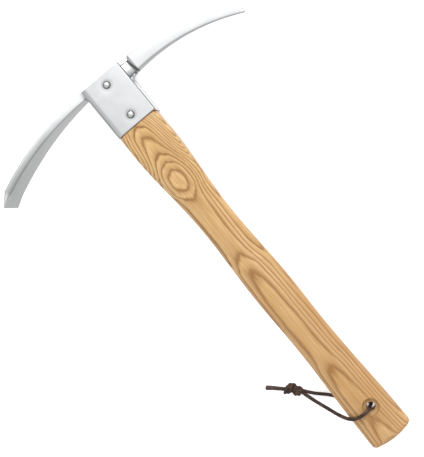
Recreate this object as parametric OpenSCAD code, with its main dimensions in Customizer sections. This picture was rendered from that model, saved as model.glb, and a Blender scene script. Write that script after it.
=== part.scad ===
// Short hand pick-mattock: a forged blade and a pick, welded to a riveted sheet-steel socket on an ash handle.
//
// The tool is drawn along +X from the top of its head, with the pick on +Y and the blade on -Y, and is
// then laid on its side on the ground, as it comes to rest. The origin is the middle of the box that
// holds the resting tool, on the ground.

/* [Handle] */
// Length from the top of the head to the butt
handle_l = 407; // [360:1:450]
// Width of the handle just under the socket
neck_w = 41.2; // [39:0.2:43]
// Width at the waist
waist_w = 32.2; // [28:0.2:36]
// Width at the belly of the grip
belly_w = 36.4; // [32:0.2:40]
// Width between the belly and the butt
wrist_w = 34.7; // [31:0.2:38]
// Width at the butt
butt_w = 40.2; // [36:0.2:44]
// Depth of the handle as a share of its width
handle_flatness = 0.72; // [0.66:0.01:0.73]
// Rounding of the butt's rim
butt_round = 4; // [2:0.5:8]
// Diameter of the hang hole
hang_d = 8; // [7:0.5:10]
// Diameter of the dish around the hang hole
hang_dish_d = 15.5; // [12:0.5:16]
// Distance of the hang hole from the butt
hang_from_butt = 35; // [30:0.5:45]

/* [Socket] */
// Length of the socket along the handle
socket_l = 53.5; // [45:0.5:62]
// Width of the socket
socket_w = 42; // [41:0.5:43]
// Depth of the socket
socket_d = 30; // [28:0.5:32]
// Thickness of its sheet steel
sheet_t = 2.5; // [1.5:0.5:3]
// Outside radius of its two bends
bend_r = 5; // [3.5:0.5:7]

/* [Rivets] */
// Diameter of the rivet shanks
rivet_d = 5; // [4:0.5:6]
// Diameter of the domed heads
rivet_head_d = 7; // [6:0.5:9]
// Height of the domed heads
rivet_head_h = 2; // [1.5:0.1:2.5]
// Distance of the first rivet from the top of the socket
rivet_from_top = 10.2; // [8:0.1:14]
// Distance between the two rivets
rivet_pitch = 33.6; // [28:0.2:38]

/* [Blade] */
// Thickness of the blade
blade_t = 6.8; // [5:0.1:8]
// Outer radius of the blade's curve
blade_curve = 288; // [250:1:310]
// Reach of the blade's curve, in degrees
blade_sweep = 26.3; // [23:0.1:28]
// Length of the ground bevel, in degrees of the curve
bevel_sweep = 2.7; // [2:0.1:3.5]
// Width of the blade at the socket
blade_root_w = 20; // [16:1:24]
// Width of the cutting edge
blade_edge_w = 44; // [40:1:50]

/* [Pick] */
// Distance of the pick's tip from the middle of the handle
pick_reach = 136; // [120:1:145]
// Radius of the pick's outer curve
pick_outer_r = 296; // [280:1:320]
// Radius of the pick's inner curve
pick_inner_r = 192; // [180:1:200]
// Depth of the pick at its shoulder
pick_root_d = 12; // [9:0.5:14]
// Depth of the pick at its tip
pick_tip_d = 5; // [3:0.5:7]

/* [Thong] */
// Diameter of the leather lace
lace_d = 3; // [2.5:0.1:3]

/* [Hidden] */

steel = "#c9ccd0";
weld_steel = "#b4b8bd";
ash = "#d8b07a";
leather = "#4b3328";

$fn = 64;

// Handle. Its outline swells and narrows through these [distance, width] stations.
shoulder_gap = 0.6;
shoulder_x = socket_l + shoulder_gap;
station = [
    [shoulder_x, neck_w - 0.6], [77, neck_w], [166, waist_w], [242, belly_w],
    [291, wrist_w], [handle_l - 5, butt_w], [handle_l, butt_w]
];
section_points = 32;
ring_step = 9;
square_power = 6;       // the section is nearly a rectangle at the socket
oval_power = 2.5;       // and an oval along the grip
square_fade_l = 80;
shoulder_round = 0.8;
butt_dome_h = 2.5;
butt_steps = 4;
dome_shares = [0.75, 0.5, 0.25];
tenon_clearance = 0.15;
tenon_recess = 1;
tenon_corner_r = 3;
hang_x = handle_l - hang_from_butt;
hang_y = 2;
dish_h = (hang_dish_d - hang_d) / 2;

// Socket. Its middle is a little nearer to the pick than the handle's.
socket_y = 0.4;
blade_side_y = socket_y - socket_w / 2;
pick_side_y = socket_y + socket_w / 2;

// Rivets
rivet_y = 1.6;
rivet_x = [rivet_from_top, rivet_from_top + rivet_pitch];
rivet_reach = socket_d / 2 + rivet_head_h;
dome_r = (pow(rivet_head_d / 2, 2) + pow(rivet_head_h, 2)) / (2 * rivet_head_h);

// Blade. Its curve is an arc about blade_centre, in the plane of the swing.
blade_apex = [-0.3, -13.2];
blade_centre = blade_apex + [blade_curve, 0];
blade_inner_r = blade_curve - blade_t;
edge_land = 0.4;
blade_steps = 18;
flare_steps = 14;
blade_edge_x = blade_centre[0] - blade_inner_r * cos(blade_sweep);
blade_edge_y = blade_centre[1] - blade_inner_r * sin(blade_sweep);
flare_start = -23;
flare_run = flare_start - blade_edge_y;
flare_y = [for (i = [0 : flare_steps]) flare_start - flare_run * i / flare_steps];

// Pick. Its two curves are arcs about these centres.
pick_outer_centre = [-2.2 + pick_outer_r, 1.7];
pick_inner_centre = [15.7 + pick_inner_r, 44.7];
pick_shoulder_y = 28.5;
pick_shoulder_r = 3.5;
pick_tip_r = 2;
pick_steps = 14;
pick_box_x = [-3, 50];
neck_x = [2.4, 17];
neck_depths = [[pick_side_y, 12], [25, 9], [28, 7.5], [31, pick_root_d]];
gusset_l = 8;
gusset_d = 8;
gusset_steps = 8;

// Welds
bead = 2;
bead_from = 0.5;

// How the tool comes to rest: on the flare of the blade, on the rivets and on the lace under its butt.
rest_roll = max([for (y = flare_y) atan((blade_half_w(y) - rivet_reach) / -y)]);
rest_h = rivet_reach + 0.05;
rest_shift = [-handle_l / 2, 1, rest_h];

// The lace's two strands, from the middle of the hang hole to the knot, as it lies on the ground.
upper_route = [
    [168.6, 2.6, 17], [168.6, 1.8, 26], [168.9, 0.2, 30.6], [169.3, -2.4, 32.5], [169.5, -6, 33.1],
    [169, -10.8, 32], [167.4, -16, 28.8], [163.9, -20.9, 22.6], [158, -25.8, 14.5], [148, -31.2, 7.2],
    [136, -36.2, 4.6], [124.8, -39.6, 4.8]
];
lower_route = [
    [168.6, 2.6, 17], [168.6, 3, 9], [168, 2, 5], [166.2, 0.4, 2.6], [163, -2.6, 1.8],
    [157, -8.6, 1.7], [149, -16.3, 1.7], [140.5, -23.6, 1.7], [132, -32.2, 2], [123.6, -38.8, 3]
];
lace_sides = 8;
lace_ring_step = 4;
knot_pos = [117.3, -44.6, 4.9];
knot_heading = 229;
knot_turn_r = 3.2;
knot_turns = [[-3.2, 24], [0.6, -28], [4, 18]];
knot_core_l = 12;
knot_core_r = 2.8;
tail_l = 16.5;
tail_gap = 0.5;
tail_spread = 3;

// ---- Functions ----

function arc(centre, r, from, to, steps) =
    [for (i = [0 : steps]) let (a = from + (to - from) * i / steps) centre + r * [cos(a), sin(a)]];

// Where the -X side of a circle meets a height y: its angle, and its x.
function arc_angle(centre, r, y) = 180 - asin((y - centre[1]) / r);

function arc_x(centre, r, y) = centre[0] - sqrt(pow(r, 2) - pow(y - centre[1], 2));

// Half of the blade's width at a height y: it flares fast at the socket and evens out at the edge.
function blade_half_w(y) =
    let (u = min(max((flare_start - y) / flare_run, 0), 1))
    (blade_root_w + (blade_edge_w - blade_root_w) * sin(90 * u)) / 2;

function ease(u) = (1 - cos(180 * min(max(u, 0), 1))) / 2;

function width_at(x, i = 0) =
    i >= len(station) - 2 || x <= station[i + 1][0]
        ? station[i][1] + (station[i + 1][1] - station[i][1])
            * ease((x - station[i][0]) / (station[i + 1][0] - station[i][0]))
        : width_at(x, i + 1);

function power_at(x) = square_power + (oval_power - square_power) * ease((x - shoulder_x) / square_fade_l);

function signed_pow(v, p) = sign(v) * pow(abs(v), p);

// One section of the handle: a rounded oval, drawn in by inset all round and then scaled by share.
function handle_ring(x, inset = 0, share = 1, lift = 0) =
    let (
        w = share * (width_at(x) / 2 - inset),
        d = share * (width_at(x) / 2 * handle_flatness - inset),
        p = 2 / power_at(x)
    )
    [for (i = [0 : section_points - 1])
        let (a = 360 * i / section_points)
        [x + lift, w * signed_pow(cos(a), p), d * signed_pow(sin(a), p)]];

// Triangles of the skin over rings of n points each, closed at both ends.
function skin_faces(rings, n) = concat(
    [[for (i = [0 : n - 1]) i]],
    [for (r = [0 : rings - 2], i = [0 : n - 1])
        [r * n + i, (r + 1) * n + i, r * n + (i + 1) % n]],
    [for (r = [0 : rings - 2], i = [0 : n - 1])
        [(r + 1) * n + i, (r + 1) * n + (i + 1) % n, r * n + (i + 1) % n]],
    [[for (i = [n - 1 : -1 : 0]) (rings - 1) * n + i]]
);

// A smooth curve through the points of a route, with steps between each two.
function smooth_point(p, i, u) =
    let (a = p[max(i - 1, 0)], b = p[i], c = p[i + 1], d = p[min(i + 2, len(p) - 1)])
    0.5 * (2 * b + (c - a) * u + (2 * a - 5 * b + 4 * c - d) * u * u + (3 * b - a - 3 * c + d) * u * u * u);

function smooth(p, step) = concat(
    [for (i = [0 : len(p) - 2])
        let (n = max(1, round(norm(p[i + 1] - p[i]) / step)))
        for (k = [0 : n - 1]) smooth_point(p, i, k / n)],
    [p[len(p) - 1]]
);

function unit(v) = v / norm(v);

function headings(p) =
    [for (i = [0 : len(p) - 1]) unit(p[min(i + 1, len(p) - 1)] - p[max(i - 1, 0)])];

// Side vectors that turn with the headings and don't twist.
function sides(t, side, i = 0) =
    i == len(t) ? [] : let (s = unit(side - (side * t[i]) * t[i])) concat([s], sides(t, s, i + 1));

// ---- Shared shapes ----

module lay_down() {
    translate(rest_shift) rotate([-rest_roll, 0, 0]) children();
}

// A profile drawn as [y, z] and extruded along +X.
module along_x(from, to) {
    translate([from, 0, 0]) rotate([90, 0, 90]) linear_extrude(height = to - from) children();
}

// A profile drawn as [x, y] and extruded evenly about z = 0.
module across_z(depth) {
    translate([0, 0, -depth / 2]) linear_extrude(height = depth) children();
}

module rounded_rectangle(w, d, r) {
    square([w - 2 * r, d], center = true);
    square([w, d - 2 * r], center = true);
    for (x = [-1, 1], y = [-1, 1]) translate([x * (w / 2 - r), y * (d / 2 - r)]) circle(r);
}

// A rectangle whose two corners on the -X side are rounded.
module bent_outline(w, d, r) {
    translate([-w / 2 + r, -d / 2]) square([w - r, d]);
    translate([-w / 2, -d / 2 + r]) square([w, d - 2 * r]);
    for (y = [-1, 1]) translate([-w / 2 + r, y * (d / 2 - r)]) circle(r);
}

module rivet_shanks(length) {
    for (x = rivet_x) translate([x, rivet_y, 0]) cylinder(h = length, d = rivet_d, center = true);
}

module lace(route) {
    path = smooth(route, lace_ring_step);
    heading = headings(path);
    side = sides(heading, [1, 0, 0]);
    ring = [for (i = [0 : len(path) - 1], k = [0 : lace_sides - 1])
        let (a = -360 * k / lace_sides)
        path[i] + lace_d / 2 * (cos(a) * side[i] + sin(a) * cross(heading[i], side[i]))];
    polyhedron(points = ring, faces = skin_faces(len(path), lace_sides));
}

// ---- Sub-parts ----

// The ash handle: a lofted grip, a tenon in the socket, rivet holes and a hang hole dished at both mouths.
module handle() {
    last = handle_l - butt_round - butt_dome_h;
    dome_rise = 1 - pow(min(dome_shares), 2);
    rings = concat(
        [handle_ring(shoulder_x, shoulder_round)],
        [for (x = [shoulder_x + 1 : ring_step : last - ring_step / 2]) handle_ring(x)],
        [for (k = [0 : butt_steps])
            let (a = 90 * k / butt_steps)
            handle_ring(last, inset = butt_round * (1 - cos(a)), lift = butt_round * sin(a))],
        [for (share = dome_shares)
            handle_ring(last, butt_round, share, butt_round + butt_dome_h * (1 - pow(share, 2)) / dome_rise)]
    );
    color(ash) lay_down() difference() {
        union() {
            polyhedron(points = [for (r = rings) each r], faces = skin_faces(len(rings), section_points));
            along_x(tenon_recess, shoulder_x + 1) translate([socket_y, 0])
                rounded_rectangle(
                    socket_w - 2 * sheet_t - 2 * tenon_clearance,
                    socket_d - 2 * sheet_t - 2 * tenon_clearance,
                    tenon_corner_r
                );
        }
        rivet_shanks(socket_d);
        translate([hang_x, hang_y, 0]) {
            cylinder(h = butt_w, d = hang_d, center = true);
            for (side = [0, 1]) mirror([0, 0, side])
                translate([0, 0, width_at(hang_x) / 2 * handle_flatness - dish_h])
                    cylinder(h = dish_h + 0.5, d1 = hang_d, d2 = hang_dish_d + 1);
        }
    }
}

// The sheet bent into a U round the blade's side of the handle.
module socket_wrap() {
    color(steel) lay_down() difference() {
        along_x(0, socket_l) translate([socket_y, 0]) difference() {
            bent_outline(socket_w, socket_d, bend_r);
            translate([sheet_t, 0])
                bent_outline(socket_w, socket_d - 2 * sheet_t, bend_r - sheet_t);
        }
        rivet_shanks(socket_d + 1);
    }
}

// The flat plate that closes the U on the pick's side.
module socket_side_plate() {
    color(steel) lay_down()
        translate([0, pick_side_y - sheet_t, -socket_d / 2 + sheet_t])
            cube([socket_l, sheet_t, socket_d - 2 * sheet_t]);
}

// Two solid rivets through the socket and the tenon, domed at both ends.
module rivets() {
    color(steel) lay_down() {
        rivet_shanks(socket_d);
        for (x = rivet_x, side = [0, 1]) mirror([0, 0, side])
            translate([x, rivet_y, socket_d / 2]) intersection() {
                translate([0, 0, rivet_head_h - dome_r]) sphere(dome_r);
                cylinder(h = rivet_head_h, d = rivet_head_d + 1);
            }
    }
}

// The blade's side view: an even band of arc that ends in one ground bevel.
module blade_side() {
    root = arc_angle(blade_centre, blade_curve, blade_side_y);
    tip = 180 + blade_sweep;
    polygon(concat(
        arc(blade_centre, blade_curve, root, tip - bevel_sweep, blade_steps),
        [blade_centre + (blade_inner_r + edge_land) * [cos(tip), sin(tip)]],
        arc(blade_centre, blade_inner_r, tip, root, blade_steps)
    ));
}

// The blade's face, which flares from the socket to the cutting edge.
module blade_face() {
    heights = concat([blade_side_y], flare_y, [blade_edge_y - 1]);
    last = len(heights) - 1;
    polygon(concat(
        [for (y = heights) [y, blade_half_w(y)]],
        [for (i = [last : -1 : 0]) [heights[i], -blade_half_w(heights[i])]]
    ));
}

// The wide forged mattock blade.
module mattock_blade() {
    color(steel) lay_down() intersection() {
        across_z(blade_edge_w + 1) blade_side();
        along_x(-2, blade_edge_x + 2) blade_face();
    }
}

// The fillet weld between the socket and the blade, under the blade and along both of its sides.
module blade_weld() {
    root_x = arc_x(blade_centre, blade_inner_r, blade_side_y);
    film = 0.1;
    color(weld_steel) lay_down() difference() {
        hull() {
            translate([bead_from, blade_side_y - film, -blade_root_w / 2 - bead])
                cube([root_x + bead - bead_from, film, blade_root_w + 2 * bead]);
            translate([bead_from, blade_side_y - bead, -blade_root_w / 2])
                cube([root_x - bead_from, film, blade_root_w]);
        }
        translate([-bead, blade_side_y - 2 * bead, -blade_root_w / 2])
            cube([root_x + bead, 3 * bead, blade_root_w]);
    }
}

// The pick's side view: a tapering band between two arcs, on a short neck.
module pick_side() {
    shoulder = pick_shoulder_y + pick_shoulder_r;
    inner = [for (y = [shoulder, pick_reach]) arc_angle(pick_inner_centre, pick_inner_r, y)];
    outer = [for (y = [pick_reach - pick_tip_r, shoulder]) arc_angle(pick_outer_centre, pick_outer_r, y)];
    inner_x = arc_x(pick_inner_centre, pick_inner_r, shoulder);
    outer_x = arc_x(pick_outer_centre, pick_outer_r, shoulder);
    polygon(concat(
        [[neck_x[0], pick_shoulder_y], [neck_x[0], pick_side_y]],
        [[neck_x[1], pick_side_y], [neck_x[1], pick_shoulder_y + 1]],
        arc([inner_x - pick_shoulder_r, shoulder], pick_shoulder_r, 320, 350, 3),
        arc(pick_inner_centre, pick_inner_r, inner[0], inner[1], pick_steps),
        arc(pick_outer_centre, pick_outer_r, outer[0], outer[1], pick_steps),
        arc([outer_x + pick_shoulder_r, shoulder], pick_shoulder_r, 190, 270, 4)
    ));
}

// The pick seen from above: its neck is waisted, and its depth narrows from the shoulder to the tip.
module pick_taper() {
    tip = [[pick_reach - pick_tip_r, pick_tip_d], [pick_reach, pick_tip_d - pick_tip_r]];
    depths = concat(neck_depths, tip);
    last = len(depths) - 1;
    polygon(concat(
        [for (p = depths) [p[0], -p[1] / 2]],
        [for (i = [last : -1 : 0]) [depths[i][0], depths[i][1] / 2]]
    ));
}

// The forged pick.
module pick() {
    color(steel) lay_down() intersection() {
        across_z(pick_root_d + 1) pick_side();
        along_x(pick_box_x[0], pick_box_x[1]) pick_taper();
    }
}

// The polished weld under the pick's neck: a concave gusset down the socket's side.
module pick_weld() {
    rise = pick_shoulder_y - 1 - pick_side_y;
    color(weld_steel) lay_down() across_z(gusset_d)
        polygon(concat(
            [[neck_x[1], pick_side_y]],
            [for (i = [0 : gusset_steps])
                let (a = 90 * i / gusset_steps)
                [neck_x[1] + gusset_l * (1 - sin(a)), pick_side_y + rise * (1 - cos(a))]]
        ));
}

// The strand of the lace from the hole's upper mouth, over the handle's edge, to the knot.
module thong_upper_strand() {
    color(leather) lace(upper_route);
}

// The strand from the hole's lower mouth, under the handle, to the knot.
module thong_lower_strand() {
    color(leather) lace(lower_route);
}

module turn(r) {
    rotate_extrude() translate([r, 0]) circle(lace_d / 2);
}

// The overhand knot that ties the two strands together.
module thong_knot() {
    color(leather) translate(knot_pos) rotate([0, 0, knot_heading]) {
        for (t = knot_turns) translate([t[0], 0, 0]) rotate([0, 90, t[1]]) turn(knot_turn_r);
        translate([-knot_core_l / 2, 0, 0]) rotate([0, 90, 0]) cylinder(h = knot_core_l, r = knot_core_r);
    }
}

// The two cut ends of the lace beyond the knot.
module thong_tails() {
    color(leather) translate([knot_pos[0], knot_pos[1], 0]) rotate([0, 0, knot_heading])
        for (side = [-1, 1])
            translate([knot_core_l / 2 + tail_gap, 0, lace_d * (1 + side / 2)]) rotate([0, 90, side * tail_spread])
                cylinder(h = tail_l, d = lace_d);
}

handle();
socket_wrap();
socket_side_plate();
rivets();
mattock_blade();
blade_weld();
pick();
pick_weld();
thong_upper_strand();
thong_lower_strand();
thong_knot();
thong_tails();
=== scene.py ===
"""The looks of a short hand pick-mattock: a forged blade and a pick, welded to a riveted sheet-steel
socket on an ash handle with a leather thong. Lengths are in millimetres, in the tool's own frame
(+X from the top of the head to the butt, +Y to the pick), until a mesh is made."""

from math import asin, atan, cos, degrees, exp, hypot, pi, radians, sin, sqrt

import bmesh
import bpy
from mathutils import Matrix, Vector


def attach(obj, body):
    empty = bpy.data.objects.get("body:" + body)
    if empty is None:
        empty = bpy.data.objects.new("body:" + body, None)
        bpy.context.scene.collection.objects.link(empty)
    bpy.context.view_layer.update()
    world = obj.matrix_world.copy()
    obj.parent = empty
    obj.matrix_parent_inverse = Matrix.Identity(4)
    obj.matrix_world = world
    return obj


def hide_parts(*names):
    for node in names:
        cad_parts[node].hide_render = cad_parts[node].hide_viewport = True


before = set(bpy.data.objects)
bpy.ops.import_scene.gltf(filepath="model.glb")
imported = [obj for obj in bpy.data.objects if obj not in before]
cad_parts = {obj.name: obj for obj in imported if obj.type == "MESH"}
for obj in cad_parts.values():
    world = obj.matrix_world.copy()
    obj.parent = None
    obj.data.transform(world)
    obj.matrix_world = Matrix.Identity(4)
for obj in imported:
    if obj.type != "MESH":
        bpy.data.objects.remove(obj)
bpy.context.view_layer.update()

MM = 0.001

# ---- Driving dimensions, in millimetres and degrees ----

HANDLE_L = 407
STATIONS = [(54.1, 40.6), (77, 41.2), (166, 32.2), (242, 36.4), (291, 34.7), (402, 40.2), (407, 40.2)]
FLATNESS = 0.72
SQUARE_POWER = 6
OVAL_POWER = 2.5
SQUARE_FADE_L = 80
SHOULDER_ROUND = 0.8
BUTT_ROUND = 4
BUTT_DOME_H = 2.5
TENON_W = 36.7
TENON_D = 24.7
TENON_TOP = 1
HANG_X = 372
HANG_Y = 2
HANG_D = 8
HANG_DISH_D = 15.5

SOCKET_L = 53.5
SOCKET_W = 42
SOCKET_D = 30
SOCKET_Y = 0.4
BLADE_SIDE_Y = SOCKET_Y - SOCKET_W / 2
PICK_SIDE_Y = SOCKET_Y + SOCKET_W / 2
SHEET_T = 2.5
BEND_R = 5

RIVET_X = (10.2, 43.8)
RIVET_Y = 1.6
RIVET_D = 5
RIVET_HEAD_D = 7
RIVET_HEAD_H = 2

BLADE_T = 6.8
BLADE_R = 288
BLADE_CENTRE = (287.7, -13.2)
BLADE_SWEEP = 26.3
BEVEL_SWEEP = 2.7
BLADE_ROOT_W = 20
BLADE_EDGE_W = 44
EDGE_LAND = 0.4
FLARE_START = -23
FLARE_STEPS = 14
BLADE_INNER_R = BLADE_R - BLADE_T
BLADE_EDGE_Y = BLADE_CENTRE[1] - BLADE_INNER_R * sin(radians(BLADE_SWEEP))

PICK_REACH = 136
PICK_OUTER_R = 296
PICK_INNER_R = 192
PICK_OUTER_CENTRE = (293.8, 1.7)
PICK_INNER_CENTRE = (207.7, 44.7)
PICK_TIP_D = 5
SHOULDER_Y = 28.5
SHOULDER_R = 3.5
NECK_X = (2.4, 17)
NECK_DEPTHS = [(PICK_SIDE_Y, 12), (25, 9), (28, 7.5), (31, 12)]
GUSSET_L = 8
GUSSET_D = 8
BEAD = 2

LACE_D = 3
KNOT_POS = (117.3, -44.6, 5.2)
KNOT_HEADING = 229
TAIL_L = 16.5

# The lace's two strands, from the middle of the hang hole to the knot, in the frame's own axes.
UPPER_ROUTE = [
    (168.6, 2.6, 17), (168.6, 1.8, 26), (168.9, 0.2, 30.6), (169.3, -2.4, 32.5), (169.5, -6, 33.1),
    (169, -10.8, 32), (167.4, -16, 28.8), (163.9, -20.9, 22.6), (158, -25.8, 14.5), (148, -31.2, 7.2),
    (136, -36.2, 4.6), (124.8, -39.6, 4.8),
]
LOWER_ROUTE = [
    (168.6, 2.6, 17), (168.6, 3, 9), (168, 2, 5), (166.2, 0.4, 2.6), (163, -2.6, 1.8),
    (157, -8.6, 1.7), (149, -16.3, 1.7), (140.5, -23.6, 1.7), (132, -32.2, 2), (123.6, -38.8, 3),
]


# ---- Shapes ----

def ease(u):
    return (1 - cos(pi * min(max(u, 0), 1))) / 2


def blend(a, b, u):
    return a + (b - a) * u


def width_at(x):
    """The handle's width, which swells and narrows through its stations."""
    for (x0, w0), (x1, w1) in zip(STATIONS, STATIONS[1:]):
        if x <= x1:
            return blend(w0, w1, ease((x - x0) / (x1 - x0)))
    return STATIONS[-1][1]


def arc_x(centre, r, y):
    """Where the -X side of a circle meets a height y."""
    return centre[0] - sqrt(r * r - (y - centre[1]) ** 2)


def blade_half_width(y):
    """The blade flares fast at the socket, and evens out at the cutting edge."""
    u = min(max((FLARE_START - y) / (FLARE_START - BLADE_EDGE_Y), 0), 1)
    return blend(BLADE_ROOT_W, BLADE_EDGE_W, sin(radians(90 * u))) / 2


def spread(start, end, step):
    """Even values from start to end, about a step apart."""
    n = max(1, round(abs(end - start) / step))
    return [blend(start, end, i / n) for i in range(n + 1)]


def oval(half_w, half_d, power, n):
    """A superellipse as (w, d) points: an oval at power 2, and nearly a rectangle at a high power."""
    points = []
    for i in range(n):
        a = 2 * pi * i / n
        c, s = cos(a), sin(a)
        reach = (abs(c) ** power + abs(s) ** power) ** (-1 / power)
        points.append((half_w * reach * c, half_d * reach * s))
    return points


def rounded_rectangle(low, high, half_d, r, n=6):
    """A rectangle from low to high and half_d each way, with round corners of radius r."""
    r = min(r, (high - low) / 2.02, half_d / 1.01)
    corners = [(high - r, half_d - r, 0), (low + r, half_d - r, 90),
               (low + r, r - half_d, 180), (high - r, r - half_d, 270)]
    points = []
    for u, v, start in corners:
        for k in range(n + 1):
            a = radians(start + 90 * k / n)
            points.append((u + r * cos(a), v + r * sin(a)))
    return points


def loft(rings):
    """The closed skin over rings that have the same number of points."""
    n = len(rings[0])
    vertices = [p for ring in rings for p in ring]
    faces = [
        (r * n + k, r * n + (k + 1) % n, (r + 1) * n + (k + 1) % n, (r + 1) * n + k)
        for r in range(len(rings) - 1) for k in range(n)
    ]
    faces.append(tuple(range(n - 1, -1, -1)))
    faces.append(tuple(range((len(rings) - 1) * n, len(rings) * n)))
    return vertices, faces


def lathe(profile, n=64):
    """The solid of (radius, height) points turned about +Z. It is closed at both ends."""
    rings = [[(r * cos(2 * pi * k / n), r * sin(2 * pi * k / n), z) for k in range(n)] for r, z in profile]
    return loft(rings)


def smooth_route(points, step):
    """A smooth curve through the points of a route, with a point about every step."""
    p = [Vector(q) for q in points]
    curve = []
    for i in range(len(p) - 1):
        a, b, c, d = p[max(i - 1, 0)], p[i], p[i + 1], p[min(i + 2, len(p) - 1)]
        n = max(1, round((c - b).length / step))
        for k in range(n):
            u = k / n
            curve.append(0.5 * (
                2 * b + (c - a) * u + (2 * a - 5 * b + 4 * c - d) * u ** 2 + (3 * b - a - 3 * c + d) * u ** 3
            ))
    return curve + [p[-1]]


def tube(path, section, side, twist=0):
    """A section swept along a path without kinks. It twists by that many degrees over the whole path."""
    rings = []
    for i, point in enumerate(path):
        heading = (path[min(i + 1, len(path) - 1)] - path[max(i - 1, 0)]).normalized()
        side = (side - side.dot(heading) * heading).normalized()
        across = heading.cross(side)
        a = radians(twist) * i / (len(path) - 1)
        rings.append([
            point + side * (u * cos(a) - v * sin(a)) + across * (u * sin(a) + v * cos(a))
            for u, v in section(i / (len(path) - 1))
        ])
    return loft(rings)


def join(*parts):
    """Several (vertices, faces) as one."""
    vertices, faces = [], []
    for part_vertices, part_faces in parts:
        base = len(vertices)
        vertices.extend(part_vertices)
        faces.extend(tuple(base + k for k in face) for face in part_faces)
    return vertices, faces


def make_mesh(name, shape, place, sharp=35):
    """An object of that shape, given in millimetres. Edges sharper than that many degrees stay crisp."""
    mesh = bpy.data.meshes.new(name)
    mesh.from_pydata([Vector(v) * MM for v in shape[0]], [], shape[1])
    bm = bmesh.new()
    bm.from_mesh(mesh)
    bmesh.ops.recalc_face_normals(bm, faces=bm.faces)
    bm.to_mesh(mesh)
    bm.free()
    mesh.transform(place)
    mesh.shade_smooth()
    mesh.set_sharp_from_angle(angle=radians(sharp))
    piece = bpy.data.objects.new(name, mesh)
    bpy.context.scene.collection.objects.link(piece)
    return piece


def bake_modifiers(piece, sharp=35):
    """Applies the piece's modifiers to its mesh."""
    bpy.context.view_layer.update()
    graph = bpy.context.evaluated_depsgraph_get()
    mesh = bpy.data.meshes.new_from_object(piece.evaluated_get(graph))
    piece.modifiers.clear()
    piece.data = mesh
    mesh.shade_smooth()
    mesh.set_sharp_from_angle(angle=radians(sharp))


def cut(piece, *cutters):
    """Cuts the cutters out of the piece, and removes them."""
    for cutter in cutters:
        modifier = piece.modifiers.new("cut", "BOOLEAN")
        modifier.operation = "DIFFERENCE"
        modifier.solver = "EXACT"
        modifier.object = cutter
    bake_modifiers(piece)
    for cutter in cutters:
        bpy.data.objects.remove(cutter)


def finish_piece(piece, material, slot, *nodes):
    """Gives the piece its material and its place in the frame. It stands for those CAD nodes."""
    piece.data.materials.clear()
    piece.data.materials.append(material)
    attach(piece, "root")
    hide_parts(*nodes)
    return piece


# ---- The tool's frame, as it lies on the ground ----

RIVET_REACH = SOCKET_D / 2 + RIVET_HEAD_H
REST_ROLL = max(
    atan((blade_half_width(y) - RIVET_REACH) / -y)
    for y in (blend(FLARE_START, BLADE_EDGE_Y, i / FLARE_STEPS) for i in range(FLARE_STEPS + 1))
)
REST_SHIFT = Vector((-HANDLE_L / 2, 1, RIVET_REACH + 0.05))
GROUND = Matrix.Identity(4)
TOOL = Matrix.Translation(REST_SHIFT * MM) @ Matrix.Rotation(-REST_ROLL, 4, "X")


def tool_at(x, y):
    """The tool's frame, moved to a place on its middle plane."""
    return TOOL @ Matrix.Translation((x * MM, y * MM, 0))


# ---- Materials ----

def fill_ramp(node, stops):
    """Sets a ramp's stops, each a position and a colour."""
    elements = node.color_ramp.elements
    while len(elements) < len(stops):
        elements.new(1.0)
    for element, (position, colour) in zip(elements, stops):
        element.position = position
        element.color = colour if len(colour) == 4 else (*colour, 1)


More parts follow.
